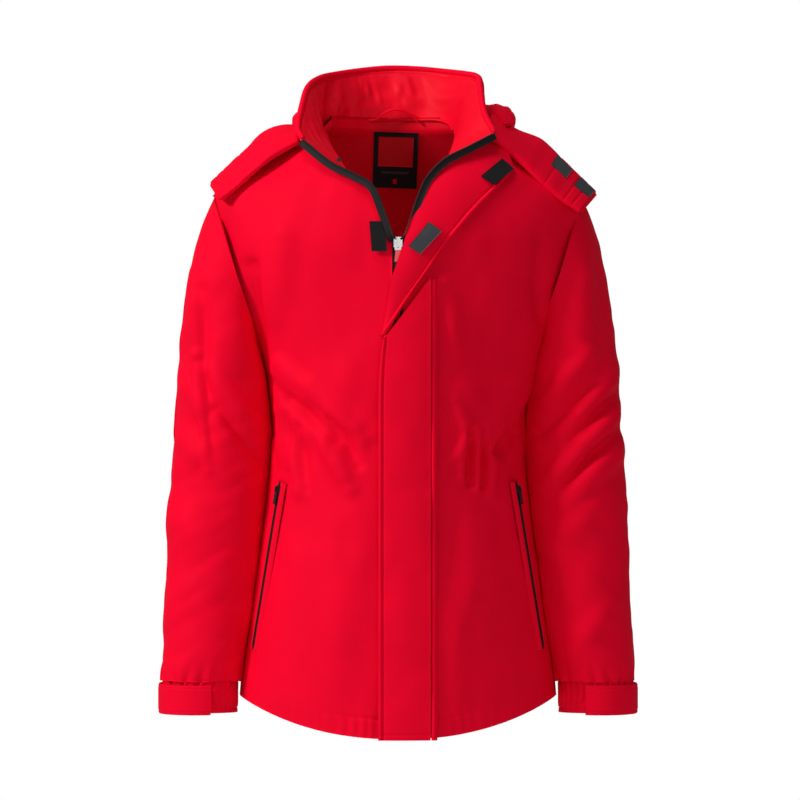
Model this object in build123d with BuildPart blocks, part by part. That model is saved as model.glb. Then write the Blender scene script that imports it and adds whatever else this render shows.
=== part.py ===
"""Foul weather jacket, padded, built as separate sewn pieces."""

from build123d import *
import math
import os

# ---- overall frame: z = 0 at the neck seam, y = 0 at mid depth, shifted to the hanger loop on saving ----
LOOP_Y = 54.0
LOOP_Z = 8.0

# ---- cloth thicknesses, each layer given as (outer offset, inner offset) inwards from the outer surface ----
SHELL = (0.0, 0.9)
PADDING = (1.2, 6.2)
LINING = (6.5, 7.3)
GAP = 0.3

# ---- body sections: height, half width, front y, back y ----
FRONT_Y = -146.0
BODY = (
    (-785.0, 206.0, FRONT_Y, 150.0),
    (-690.0, 195.0, FRONT_Y, 147.0),
    (-600.0, 183.0, FRONT_Y, 142.0),
    (-500.0, 167.0, FRONT_Y, 128.0),
    (-409.0, 158.0, FRONT_Y, 120.0),
    (-350.0, 161.0, FRONT_Y, 122.0),
    (-290.0, 178.0, FRONT_Y, 128.0),
    (-200.0, 220.0, FRONT_Y, 130.0),
    (-149.0, 232.0, -144.0, 127.0),
    (-98.0, 238.0, -128.0, 116.0),
    (-60.0, 186.0, -108.0, 98.0),
    (-30.0, 131.0, -93.0, 80.0),
    (-12.0, 92.0, -84.0, 68.0),
)

# ---- neck opening outline, right half, in the front view ----
NECK_V = ((0.0, -156.0), (30.0, -92.0), (80.0, -57.0), (96.0, -10.0), (96.0, 60.0))

# ---- collar ----
COLLAR = (
    (-11.5, 91.0, -83.0, 66.0),
    (30.0, 99.0, -84.0, 74.0),
    (69.0, 104.0, -84.0, 80.0),
)

# ---- armholes and sleeves: centre x, y, z, half length across, half depth, tilt of the section ----
ARMHOLE = (205.5, 0.0, -193.0)
ARM_TILT = 15.6
SLEEVE = (
    (206.3, 0.0, -193.2, 96.0, 66.0, 15.6),
    (214.5, 0.0, -227.5, 82.0, 65.0, 28.3),
    (218.5, -1.0, -298.5, 63.5, 64.0, 54.4),
    (222.2, -3.0, -365.0, 56.5, 61.0, 75.2),
    (226.8, -4.0, -450.0, 58.0, 60.0, 90.0),
    (234.0, -6.0, -523.0, 57.0, 58.0, 90.0),
    (242.3, -8.0, -622.0, 52.5, 54.0, 90.0),
    (250.2, -10.0, -690.0, 47.5, 50.0, 90.0),
    (252.5, -10.0, -713.0, 47.0, 49.0, 90.0),
)
SEAM_TURN = 0.004
LINING_SEAM_TURN = 0.04
SHELL_DRAWN_IN = 0.5
CUFF_TOP = -713.5
CUFF_END = -755.0
CUFF_CENTRE = (256.5, -10.0)
CUFF_HALF = (50.0, 48.0)

# ---- main zip ----
ZIP_Y = -143.6
ZIP_TOP = -152.0
ZIP_END = -783.0
SLIT = 7.0
TOOTH_PITCH = 4.0
TOOTH_REACH = 2.3
POST_GAP = 0.8
PULL_AXIS = (-148.1, -158.5)

# ---- storm flap ----
FLAP_IN = -154.0
FLAP_OUT = -158.0
FLAP_SIDE = 41.0
FLAP_EDGE = -25.0
FOLD_START = (-20.0, -276.0)
FOLD_END = (147.0, -68.0)

# ---- pocket zips: top and bottom ends on the body's surface, wearer's left side ----
POCKET_TOP = (147.0, -76.5, -465.0)
POCKET_END = (181.0, -53.0, -671.0)
POCKET_NORMAL = (0.868, -0.497, 0.087)

# ---- hood folded down the back, and its front tabs ----
HOOD_OUTLINE = ((-34, -26), (-84, -68), (-128, -106), (-136, -150), (-114, -205), (-60, -238), (0, -246))
TAB_PLANE = Plane(origin=(136, 0, -24), x_dir=(0.842, 0, -0.540), z_dir=(0.540, 0, 0.842))


def save(solid, name):
    """Move a finished piece to the hanger loop's frame and write it."""
    placed = solid.moved(Location((0, -LOOP_Y, -LOOP_Z)))
    placed.label = name
    export_step(placed, f"parts/{name}.step")


def flipped(solid):
    """The same piece on the other side of the body."""
    return mirror(solid, about=Plane.YZ)


def smooth(rows, steps=3):
    """Rows with cubic in-between rows added, so the straight bands read as a curve."""
    out = []
    for i in range(len(rows) - 1):
        before, here = rows[max(i - 1, 0)], rows[i]
        after, beyond = rows[i + 1], rows[min(i + 2, len(rows) - 1)]
        span = after[0] - here[0]
        lead = (after[0] - before[0]) or span
        tail = (beyond[0] - here[0]) or span
        for step in range(steps):
            t = step / steps
            row = [here[0] + t * span]
            for k in range(1, len(here)):
                m0 = (after[k] - before[k]) / lead * span
                m1 = (beyond[k] - here[k]) / tail * span
                value = (2 * t**3 - 3 * t**2 + 1) * here[k] + (t**3 - 2 * t**2 + t) * m0
                value += (3 * t**2 - 2 * t**3) * after[k] + (t**3 - t**2) * m1
                row.append(value)
            out.append(tuple(row))
    return out + [tuple(rows[-1])]


END_STEPS = [0.0, 0.004, 0.014]
BODY_ROWS = smooth(BODY)
COLLAR_ROWS = smooth(COLLAR)


def row_at(height, rows=None):
    """Section of the body at any height."""
    rows = rows or BODY_ROWS
    for low, high in zip(rows, rows[1:]):
        if low[0] <= height <= high[0]:
            t = (height - low[0]) / (high[0] - low[0])
            return tuple(p + t * (q - p) for p, q in zip(low, high))
    return rows[-1] if height > rows[-1][0] else rows[0]


def rows_between(low, high, rows=None):
    """Sections from one height to another."""
    rows = rows or BODY_ROWS
    inside = [row for row in rows if low + 0.5 < row[0] < high - 0.5]
    return [row_at(low, rows)] + inside + [row_at(high, rows)]


def surface_y(x, z, out=0.0):
    """Front surface of the body, moved outwards."""
    _, half, front, back = row_at(z)
    depth = (back - front) / 2 + out
    return (front + back) / 2 - depth * math.sqrt(max(0.0, 1 - (x / (half + out)) ** 2))


def ring_profile(half, depth, centre, span, start, stop):
    """Closed outline of a wall between two offsets and two angles."""
    steps = END_STEPS + [i / 24 for i in range(1, 24)] + [1 - step for step in reversed(END_STEPS)]
    turns = [start + (stop - start) * step for step in steps]
    outer = [((half - span[0]) * math.cos(t), centre + (depth - span[0]) * math.sin(t)) for t in turns]
    inner = [((half - span[1]) * math.cos(t), centre + (depth - span[1]) * math.sin(t)) for t in turns]
    inner.reverse()
    with BuildLine() as outline:
        Spline(*outer)
        Line(outer[-1], inner[0])
        Spline(*inner)
        Line(inner[-1], outer[0])
    return outline.line


def wall(span, slit=0.0, low=-785.0, high=-12.0, rows=None, arc=None):
    """Cloth wall round the body, open along the front, or over an arc of angles."""
    with BuildPart() as form:
        for height, half, front, back in rows_between(low, high, rows):
            start, stop = arc or (-90.0, 270.0)
            side = 0.0 if arc else math.asin(slit / (half - span[0]))
            start, stop = math.radians(start) + side, math.radians(stop) - side
            with BuildSketch(Plane.XY.offset(height)):
                add(ring_profile(half, (back - front) / 2, (front + back) / 2, span, start, stop))
                make_face()
        loft(ruled=True)
    return form.part


def prism(points, near, far):
    """A front-view outline run from one depth to another."""
    with BuildPart() as block:
        with BuildSketch(Plane.XZ.offset(-near)):
            with BuildLine():
                Polyline(*points, close=True)
            make_face()
        extrude(amount=near - far)
    return block.part


def block(x, y, z):
    """Box between two limits on each axis."""
    with BuildPart() as box:
        centre = ((x[0] + x[1]) / 2, (y[0] + y[1]) / 2, (z[0] + z[1]) / 2)
        with Locations(centre):
            Box(x[1] - x[0], y[1] - y[0], z[1] - z[0])
    return box.part


def neck_cut(spread=0.0):
    """The open V at the front of the neck."""
    right = [(x + spread if x else 0.0, z - spread * (x == 0)) for x, z in NECK_V]
    left = [(-x, z) for x, z in reversed(right[1:])]
    return prism(right + left, -20.0, -220.0)


def armhole_plane(shift=0.0):
    """Plane of the wearer's left armhole, facing outwards and slightly down."""
    normal = Vector(0, 0, 1).rotate(Axis.Y, 90 + ARM_TILT)
    return Plane(origin=Vector(*ARMHOLE) + normal * shift, x_dir=(0, 1, 0), z_dir=normal)


def arm_cutter(shift):
    """Everything outside one armhole, down to the armpit."""
    with BuildPart() as cutter:
        with BuildSketch(armhole_plane(shift)):
            Rectangle(400, 226)
        extrude(amount=120)
    return cutter.part


def body_layer(span, slit, cut_arms=True, low=-785.0):
    """One cloth layer of the body, open at the front, neck, armholes and hem."""
    layer = wall(span, slit, low) - neck_cut()
    if cut_arms:
        cutter = arm_cutter(-0.6)
        layer = layer - cutter - flipped(cutter)
    return layer


def sleeve_layer(span, seam=SEAM_TURN, drawn_in=0.0):
    """One cloth layer of the wearer's left sleeve, seamed on its inner side, its wrist end drawn in."""
    rows = smooth_sleeve()
    rows[-1] = tuple(p + drawn_in * (q - p) for p, q in zip(rows[-1], rows[-2]))
    with BuildPart() as form:
        for x, y, z, half, depth, tilt in rows:
            normal = Vector(0, 0, 1).rotate(Axis.Y, 90 + tilt)
            across = Vector(1, 0, 0).rotate(Axis.Y, tilt - 90)
            with BuildSketch(Plane(origin=(x, y, z), x_dir=across, z_dir=normal)):
                add(ring_profile(half, depth, 0.0, span, seam - math.pi, math.pi - seam))
                make_face()
        loft(ruled=True)
    return form.part


def smooth_sleeve():
    """Sleeve sections with cubic in-between sections, ordered by their distance down the arm."""
    keyed = [(float(i), *row) for i, row in enumerate(SLEEVE)]
    return [row[1:] for row in smooth(keyed, 3)]


def cuff_tube(out, inner, low=CUFF_END, high=CUFF_TOP):
    """Elliptical ring around the wrist."""
    with BuildPart() as tube:
        with BuildSketch(Plane.XY.offset(low)):
            with Locations(CUFF_CENTRE):
                Ellipse(CUFF_HALF[0] + out, CUFF_HALF[1] + out)
                Ellipse(CUFF_HALF[0] + inner, CUFF_HALF[1] + inner, mode=Mode.SUBTRACT)
        extrude(amount=high - low)
    return tube.part


def pocket_plane(lift=0.0):
    """Plane of the wearer's left pocket zip: x runs down the zip, z faces out."""
    start, end = Vector(*POCKET_TOP), Vector(*POCKET_END)
    along = (end - start).normalized()
    out = Vector(*POCKET_NORMAL)
    out = (out - along * out.dot(along)).normalized()
    return Plane(origin=start + out * lift, x_dir=along, z_dir=out)


def pocket_box(x, y, z):
    """Box in the pocket zip's own frame."""
    with BuildPart(pocket_plane()) as box:
        with Locations(((x[0] + x[1]) / 2, (y[0] + y[1]) / 2, (z[0] + z[1]) / 2)):
            Box(x[1] - x[0], y[1] - y[0], z[1] - z[0])
    return box.part


POCKET_RUN = (Vector(*POCKET_END) - Vector(*POCKET_TOP)).length
POCKET_BAG = ((60, -455), (146, -455), (172, -640), (165, -720), (60, -730))


def both(*pieces):
    """Several solids kept as separate bodies of one piece."""
    solids = [solid for piece in pieces for solid in piece.solids()]
    return Compound(children=solids)


def build_body():
    """Shell, padding and lining of the body."""
    slot = pocket_box((2, POCKET_RUN - 2), (-3, 3), (-25, 10))
    slots = (slot, flipped(slot))
    shell = body_layer(SHELL, SLIT)
    padding = body_layer(PADDING, 17.0, True, -783.0)
    lining = body_layer(LINING, 17.0, True, -783.0)
    bag_room = prism(POCKET_BAG, -20.0, -200.0)
    for cut in slots:
        shell = shell - cut
        padding = padding - cut
    padding = padding - bag_room - flipped(bag_room)
    front = lining & block((-300, 300), (-300, -20), (-783, 0))
    yoke = lining & block((-300, 300), (-19.7, 300), (-106.7, 0))
    back = lining & block((-300, 300), (-19.7, 300), (-783, -107))
    save(shell, "body_shell")
    save(padding, "body_padding")
    save(front, "front_lining")
    save(yoke, "back_yoke_lining")
    save(back, "back_lining")
    save(wall((7.6, 8.4), 17.0, -785.0, -747.0), "hem_facing")


def build_pocket_bags():
    """Two flat pocket bags lying where the padding is left out."""
    inset = ((64, -460), (141, -460), (165, -640), (160, -715), (64, -725))
    bag = wall((1.3, 6.1), 0.0, -730.0, -450.0, arc=(-90, 0)) & prism(inset, -20.0, -200.0)
    slot = pocket_box((2, POCKET_RUN - 2), (-3, 3), (-25, 10))
    bag = bag - slot
    save(bag, "pocket_bag_left")
    save(flipped(bag), "pocket_bag_right")


def build_waist():
    """Flat elastic and the casing that holds it against the lining."""
    elastic = wall((8.6, 10.1), 30.0, -414.0, -404.0)
    inner = wall((10.4, 11.2), 30.0, -421.0, -397.0)
    low = wall((7.6, 10.4), 30.0, -421.0, -417.0)
    high = wall((7.6, 10.4), 30.0, -401.0, -397.0)
    save(elastic, "waist_elastic")
    save(both(inner, low, high), "waist_casing")


def collar_layer(span):
    """A collar layer: tall at the back, falling to the neck at the front."""
    ring = wall(span, 40.0, COLLAR[0][0], COLLAR[-1][0], COLLAR_ROWS)
    fall = Plane(origin=(0, -70, -4), x_dir=(1, 0, 0), z_dir=Vector(0, -0.53, 0.85))
    with BuildPart() as above:
        with BuildSketch(fall):
            Rectangle(600, 400)
        extrude(amount=200)
    return ring - above.part - neck_cut()


def build_collar():
    """Padded stand collar."""
    save(collar_layer((0.0, 0.9)), "collar_outer")
    save(collar_layer((1.2, 5.2)), "collar_padding")
    save(collar_layer((5.5, 6.3)), "collar_inner")


def build_label_and_loop():
    """Woven neck label with a plain square patch, and the hanging loop."""
    field = prism(((-32, -22), (24, -22), (24, -91), (-32, -91)), 200.0, 0.0)
    square = prism(((-26, -28), (18, -28), (18, -66), (-26, -66)), 200.0, 0.0)
    save(wall((7.6, 8.4), 0.0, -95.0, -18.0, arc=(60, 120)) & field, "neck_label")
    save(wall((8.7, 9.2), 0.0, -95.0, -18.0, arc=(60, 120)) & square, "neck_label_patch")
    with BuildPart() as loop:
        with BuildSketch(Plane.XZ.offset(-(LOOP_Y + 2.0))):
            Ellipse(26, 21.6)
            Ellipse(24.4, 20.0, mode=Mode.SUBTRACT)
            with Locations((0, -14)):
                Rectangle(80, 30, mode=Mode.SUBTRACT)
        extrude(amount=4.0)
    save(loop.part.moved(Location((0, 0, LOOP_Z - 20.0))), "hanger_loop")


def comb(side):
    """One row of moulded teeth on its cord."""
    count = int((ZIP_TOP - ZIP_END - 18) / TOOTH_PITCH)
    root = POST_GAP + TOOTH_REACH
    points = [(root + 1.2, ZIP_TOP), (root, ZIP_TOP)]
    shift = 0.0 if side > 0 else TOOTH_PITCH / 2
    for number in range(count):
        top = ZIP_TOP - 1.0 - shift - number * TOOTH_PITCH
        points += [(root, top), (POST_GAP, top), (POST_GAP, top - 2.2), (root, top - 2.2)]
    points += [(root, ZIP_END + 14), (root + 1.2, ZIP_END + 14)]
    return prism([(side * x, z) for x, z in points], ZIP_Y + 1.3, ZIP_Y - 1.3)


def edge_band(side, near, far):
    """Band along one edge of the neck opening, following the body."""
    outer = [(side * (x + far), z - 0.35 * far) for x, z in NECK_V[:3]]
    inner = [(side * (x + near), z - 0.35 * near) for x, z in NECK_V[:3]]
    return prism(inner + outer[::-1], -30.0, -220.0)


def build_zip():
    """Main zip: tapes, teeth, stops, insertion pin and retainer box."""
    for side, word in ((1, "left"), (-1, "right")):
        arc = (-90.0, 0.0) if side > 0 else (-180.0, -90.0)
        low, high = sorted((side * 4.6, side * 15.0))
        tape = block((low, high), (ZIP_Y - 0.4, ZIP_Y + 0.4), (ZIP_END, ZIP_TOP - 6))
        opened = wall((-1.2, -0.3), 0.0, -146.0, -50.0, arc=arc) & edge_band(side, 1.0, 11.0)
        beads = wall((-3.6, -1.5), 0.0, -146.0, -50.0, arc=arc) & edge_band(side, 1.0, 4.0)
        save(both(tape, opened), f"zip_tape_{word}")
        save(both(comb(side), beads), f"zip_teeth_{word}")
    stop_y = surface_y(74, -55, 4.2)
    stop = block((72, 77), (stop_y - 2.5, stop_y), (-57, -52))
    save(both(stop, flipped(stop)), "zip_top_stops")
    pin = block((1.0, 4.2), (ZIP_Y - 1.3, ZIP_Y + 1.3), (ZIP_END, ZIP_END + 13))
    box = block((-4.2, -1.0), (ZIP_Y - 2.0, ZIP_Y + 2.0), (ZIP_END, ZIP_END + 13))
    save(pin, "zip_pin")
    save(box, "zip_box")


def build_slider():
    """Main slider: two plates on a post, with a bail, and the pull hung in it."""
    front = block((-5.5, 5.5), (ZIP_Y - 3.2, ZIP_Y - 1.8), (-166, -153))
    back = block((-5.5, 5.5), (ZIP_Y + 1.8, ZIP_Y + 3.2), (-166, -153))
    post = block((-0.4, 0.4), (ZIP_Y - 1.8, ZIP_Y + 1.8), (-156, -153))
    bail = block((-0.9, 0.9), (-151.0, ZIP_Y - 3.2), (-164, -153))
    window = block((-0.9, 0.9), (-149.4, ZIP_Y - 3.2), (-161.5, -155.5))
    save(front + back + post + (bail - window), "main_slider")
    head = block((-4.2, 4.2), (PULL_AXIS[0] - 0.8, PULL_AXIS[0] + 0.8), (-169.5, -157.7))
    eye = block((-1.6, 1.6), (PULL_AXIS[0] - 1, PULL_AXIS[0] + 1), (-166.5, -159.3))
    save(head - eye, "main_pull_head")
    outline = ((-3.2, -169.8), (3.2, -169.8), (4.6, -184.0), (-4.6, -184.0))
    grip = prism(outline, PULL_AXIS[0] + 1.0, PULL_AXIS[0] - 1.0)
    save(grip, "main_pull_grip")


def build_flap():
    """Storm flap: hanging part, turned top, fixed seam and its patches."""
    outline = ((-20, -281.5), (FLAP_EDGE, -288), (FLAP_EDGE, -785), (FLAP_SIDE, -785), (FLAP_SIDE, -195))
    flap = prism(outline, FLAP_IN, FLAP_OUT)
    rim = block((FLAP_EDGE, FLAP_EDGE + 5), (FLAP_OUT - 0.8, FLAP_IN + 0.4), (-785, -290))
    save(flap + rim, "storm_flap")
    near = (-90.0, -60.0)
    seam = wall((-12.0, -0.3), 0.0, -785.0, -208.0, arc=near)
    save(seam & block((FLAP_SIDE + 0.8, FLAP_SIDE + 7), (-200, -100), (-785, -208)), "storm_flap_seam")
    turned = (
        FOLD_START, (56, -168), FOLD_END, (124, -40), (92, -55),
        (62, -66), (40, -88), (22, -128), (12, -165), (10, -200), (-8, -246),
    )
    wide = (-110.0, -10.0)
    layer = wall((-12.0, -8.0), 0.0, -290.0, -30.0, arc=wide)
    save(layer & prism(turned, -30.0, -220.0), "storm_flap_top")
    patches = (
        ("storm_flap_facing", (-7.6, -0.3), ((52, -84), (60, -160), (110, -95), (100, -66), (66, -72))),
        ("loop_patch_front", (-2.6, -1.5), ((-36, -133), (-17, -133), (-14, -171), (-33, -171))),
        ("hook_patch_flap", (-13.6, -12.3), ((39, -136), (55, -148), (28, -175), (14, -166))),
        ("loop_patch_flap", (-13.6, -12.3), ((132, -52), (143, -66), (121, -85), (106, -74))),
    )
    for name, span, corners in patches:
        form = wall(span, 0.0, -200.0, -40.0, arc=(-120.0, -10.0))
        save(form & prism(corners, -30.0, -220.0), name)


def build_pockets():
    """Pocket zips: tape, coil, slider and pull on each side."""
    run = POCKET_RUN
    thick = (2.2, 3.0)
    tapes = pocket_box((0, run), (-5, -1.0), thick) + pocket_box((0, run), (1.0, 5), thick)
    tapes = tapes + pocket_box((-3, 0), (-5, 5), thick) + pocket_box((run, run + 3), (-5, 5), thick)
    coil = pocket_box((1, run - 1), (-2.4, -0.7), (3.3, 4.4)) + pocket_box((1, run - 1), (0.7, 2.4), (3.3, 4.4))
    slider = pocket_box((2, 11), (-3.6, 3.6), (4.8, 6.0)) + pocket_box((2, 11), (-0.3, 0.3), (1.4, 4.8))
    slider = slider + pocket_box((2, 11), (-2.6, 2.6), (0.2, 1.4))
    lug = pocket_box((3, 10), (-0.8, 0.8), (6.0, 9.2)) - pocket_box((4.6, 8.4), (-0.8, 0.8), (6.0, 8.0))
    pull = pocket_box((5.2, 26), (-2.8, 2.8), (6.3, 7.5)) - pocket_box((6.5, 12.5), (-1.3, 1.3), (6.0, 8.0))
    pieces = ((tapes, "tape"), (coil, "coil"), (slider + lug, "slider"), (pull, "pull"))
    for piece, word in pieces:
        save(piece, f"pocket_{word}_left")
        save(flipped(piece), f"pocket_{word}_right")


def build_sleeves():
    """Sleeve shells, padding, linings, cuffs and cuff tabs."""
    pieces = {
        "sleeve_shell": sleeve_layer(SHELL, SEAM_TURN, SHELL_DRAWN_IN),
        "sleeve_padding": sleeve_layer((1.2, 5.2)),
        "sleeve_lining": sleeve_layer((5.5, 6.3), LINING_SEAM_TURN),
        "cuff": cuff_tube(0.0, -2.6),
    }
    front = block((243, 330), (-90, 20), (CUFF_END, CUFF_TOP - 6))
    tab = cuff_tube(4.2, 2.2) & front
    patch_room = block((280, 330), (-60, 12), (CUFF_END + 6, CUFF_TOP - 12))
    pieces["cuff_tab"] = tab
    pieces["cuff_tab_hook"] = cuff_tube(1.9, 1.2) & patch_room
    pieces["cuff_loop"] = cuff_tube(0.9, 0.1) & patch_room
    for word, piece in pieces.items():
        save(piece, f"{word}_left")
        save(flipped(piece), f"{word}_right")


def pouch_outline(inward, top):
    """Outline of the folded hood, seen from the back, drawn in by a distance."""
    left = [(x + inward * (x < 0), z + inward * (z < -66)) for x, z in HOOD_OUTLINE]
    left[0] = (left[0][0], HOOD_OUTLINE[0][1] + top)
    right = [(-x, z) for x, z in reversed(left[:-1])]
    return prism(left + right, 260.0, 40.0)


def pouch(out, inner, thick, inset):
    """Pouch leaves and rim that follow the back of the body, open at the top."""
    arc = (10.0, 170.0)
    whole = pouch_outline(inset, 0)
    leaf_out = wall((-out, -out + thick), 0.0, -250.0, -24.0, arc=arc) & whole
    leaf_in = wall((-inner - thick, -inner), 0.0, -250.0, -24.0, arc=arc) & whole
    middle = wall((-out + thick, -inner - thick), 0.0, -250.0, -24.0, arc=arc)
    rim = middle & (whole - pouch_outline(inset + thick, 6))
    return both(leaf_out, leaf_in, rim)


def tab_box(x, y, z):
    """Box in the shoulder tab's own frame."""
    with BuildPart(TAB_PLANE) as box:
        with Locations(((x[0] + x[1]) / 2, (y[0] + y[1]) / 2, (z[0] + z[1]) / 2)):
            Box(x[1] - x[0], y[1] - y[0], z[1] - z[0])
    return box.part


def build_hood():
    """Hood folded down the back: a pouch of shell and lining, and two front tabs."""
    save(pouch(24.0, 3.0, 1.2, 0.0), "hood_shell")
    save(pouch(22.5, 4.5, 0.8, 1.6), "hood_lining")
    tab = tab_box((2, 124), (-46, 46), (5, 17))
    hooks = tab_box((82, 102), (-44, -6), (17.3, 18.6)) + tab_box((104, 122), (-44, -6), (17.3, 18.6))
    save(tab, "hood_tab_left")
    save(flipped(tab), "hood_tab_right")
    save(hooks, "hook_patches_hood_tab")


def main():
    """Build every piece."""
    os.makedirs("parts", exist_ok=True)
    build_body()
    build_pocket_bags()
    build_waist()
    build_collar()
    build_label_and_loop()
    build_zip()
    build_slider()
    build_flap()
    build_pockets()
    build_sleeves()
    build_hood()


if __name__ == "__main__":
    main()
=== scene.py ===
"""Looks of a padded foul weather jacket, laid over its CAD frame."""

import logging
from dataclasses import dataclass
from enum import Enum

import bpy
import numpy as np
from numpy.typing import NDArray
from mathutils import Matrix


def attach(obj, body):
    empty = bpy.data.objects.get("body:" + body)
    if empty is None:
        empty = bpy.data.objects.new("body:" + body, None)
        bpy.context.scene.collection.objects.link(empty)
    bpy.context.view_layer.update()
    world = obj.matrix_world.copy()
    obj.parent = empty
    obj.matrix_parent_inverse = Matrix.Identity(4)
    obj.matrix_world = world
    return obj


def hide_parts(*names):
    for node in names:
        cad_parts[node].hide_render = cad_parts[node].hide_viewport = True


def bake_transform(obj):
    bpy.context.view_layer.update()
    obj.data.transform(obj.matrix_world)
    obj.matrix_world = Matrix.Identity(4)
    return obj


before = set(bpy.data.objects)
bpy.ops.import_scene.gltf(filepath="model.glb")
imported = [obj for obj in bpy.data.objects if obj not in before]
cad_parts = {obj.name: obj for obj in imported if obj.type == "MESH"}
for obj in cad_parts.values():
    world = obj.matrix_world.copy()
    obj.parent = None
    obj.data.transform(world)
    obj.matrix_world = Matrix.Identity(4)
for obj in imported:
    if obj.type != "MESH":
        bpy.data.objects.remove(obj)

Array = NDArray[np.float64]
LOG = logging.getLogger("jacket")
ORIGIN_MM = np.array([0.0, 54.0, 8.0])
CAMERA_AWAY = 9.0
VIEW_WIDTH = 1.016


class Side(Enum):
    """Which side of the wearer a piece is on."""

    LEFT = 1
    RIGHT = -1

    @property
    def word(self) -> str:
        """Name of the side as it stands in piece names."""
        return "left" if self is Side.LEFT else "right"


class Slot(Enum):
    """Material slots of the record."""

    SHELL = "red_shell"
    LINING = "red_lining"
    TAPE = "black_tape"
    # this slot's grey is painted sheen on the black hook patches; on the label bar it is grey print
    LOOP = "black_loop"
    HOOK = "grey_hook"
    PLASTIC = "black_plastic"
    METAL = "silver_metal"
    PULL = "red_plastic"
    LABEL_RED = "label_red"


@dataclass(frozen=True)
class Finish:
    """Surface finish of one material.

    Args:
        colour: linear base colour.
        roughness: roughness of the surface.
        weave: repeats per metre of the fine grain.
        bump: depth of the grain, in metres.
        mottle: how much the colour varies, 0 to 1.
        metallic: 1 for bare metal.
        sheen: strength of the cloth's edge glow.
        gloss: strength of the plain reflection.
    """

    colour: tuple[float, float, float]
    roughness: float
    weave: float = 1400.0
    bump: float = 0.0003
    mottle: float = 0.08
    metallic: float = 0.0
    sheen: float = 0.0
    gloss: float = 0.22


FINISHES: dict[Slot, Finish] = {
    Slot.SHELL: Finish((0.83, 0.0004, 0.022), 0.68, 1500.0, 0.00030, 0.09, 0.0, 0.0, 0.04),
    Slot.LINING: Finish((0.78, 0.0004, 0.016), 0.52, 900.0, 0.00014, 0.06, 0.0, 0.0, 0.08),
    Slot.TAPE: Finish((0.010, 0.010, 0.011), 0.75, 1800.0, 0.0002),
    Slot.LOOP: Finish((0.009, 0.009, 0.010), 0.95, 2600.0, 0.0010, 0.5),
    # HOOK: the grey base colour is painted sheen of black hook cloth on the hook patches, and grey print on
    # the label bar
    Slot.HOOK: Finish((0.040, 0.042, 0.047), 0.42, 1900.0, 0.0008, 0.5),
    Slot.PLASTIC: Finish((0.016, 0.016, 0.017), 0.38, 800.0, 0.00004),
    Slot.METAL: Finish((0.62, 0.62, 0.62), 0.26, 700.0, 0.00003, 0.1, 1.0),
    Slot.PULL: Finish((0.75, 0.10, 0.12), 0.35, 700.0, 0.00003),
    Slot.LABEL_RED: Finish((0.62, 0.004, 0.012), 0.7, 1500.0, 0.0002),
}


def material(slot: Slot) -> bpy.types.Material:
    """Procedural material of one slot.

    Args:
        slot: the slot asked for.

    Returns:
        The material, made once and then reused.
    """
    found = bpy.data.materials.get(slot.value + "_look")
    if found:
        return found
    finish = FINISHES[slot]
    made = bpy.data.materials.new(slot.value + "_look")
    made.use_nodes = True
    nodes, links = made.node_tree.nodes, made.node_tree.links
    shader = nodes["Principled BSDF"]
    shader.inputs["Roughness"].default_value = finish.roughness
    shader.inputs["Metallic"].default_value = finish.metallic
    shader.inputs["Specular IOR Level"].default_value = 0.5 if finish.metallic else finish.gloss
    shader.inputs["Sheen Weight"].default_value = finish.sheen
    shader.inputs["Sheen Roughness"].default_value = 0.5
    place = nodes.new("ShaderNodeTexCoord")
    cloud = nodes.new("ShaderNodeTexNoise")
    cloud.inputs["Scale"].default_value = 22.0
    cloud.inputs["Detail"].default_value = 5.0
    ramp = nodes.new("ShaderNodeMapRange")
    ramp.inputs["To Min"].default_value = 1.0 - finish.mottle
    ramp.inputs["To Max"].default_value = 1.0 + finish.mottle
    tint = nodes.new("ShaderNodeVectorMath")
    tint.operation = "SCALE"
    tint.inputs[0].default_value = finish.colour
    grain = nodes.new("ShaderNodeTexNoise")
    grain.inputs["Scale"].default_value = finish.weave
    grain.inputs["Detail"].default_value = 2.0
    bump = nodes.new("ShaderNodeBump")
    bump.inputs["Strength"].default_value = 0.6
    bump.inputs["Distance"].default_value = finish.bump
    links.new(place.outputs["Object"], cloud.inputs["Vector"])
    links.new(place.outputs["Object"], grain.inputs["Vector"])
    links.new(cloud.outputs["Fac"], ramp.inputs["Value"])
    links.new(ramp.outputs["Result"], tint.inputs["Scale"])
    links.new(tint.outputs["Vector"], shader.inputs["Base Color"])
    links.new(grain.outputs["Fac"], bump.inputs["Height"])
    links.new(bump.outputs["Normal"], shader.inputs["Normal"])
    return made


def spline(points: Array, count: int) -> Array:
    """Catmull-Rom curve through points, spaced evenly by length.

    Args:
        points: rows of coordinates.
        count: number of samples.

    Returns:
        Samples, one row each.
    """
    step = np.linalg.norm(np.diff(points, axis=0), axis=1) ** 0.5
    knots = np.concatenate([[0.0], np.cumsum(step)])
    slope = np.gradient(points, knots, axis=0)
    fine = np.linspace(0, knots[-1], 40 * len(points))
    at = np.clip(np.searchsorted(knots, fine, side="right") - 1, 0, len(points) - 2)
    width = (knots[at + 1] - knots[at])[:, None]
    t = ((fine - knots[at])[:, None]) / width
    curve = (2 * t**3 - 3 * t**2 + 1) * points[at] + (t**3 - 2 * t**2 + t) * slope[at] * width
    curve += (3 * t**2 - 2 * t**3) * points[at + 1] + (t**3 - t**2) * slope[at + 1] * width
    run = np.concatenate([[0.0], np.cumsum(np.linalg.norm(np.diff(curve, axis=0), axis=1))])
    asked = np.linspace(0, run[-1], count)
    return np.stack([np.interp(asked, run, curve[:, k]) for k in range(points.shape[1])], axis=1)


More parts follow.
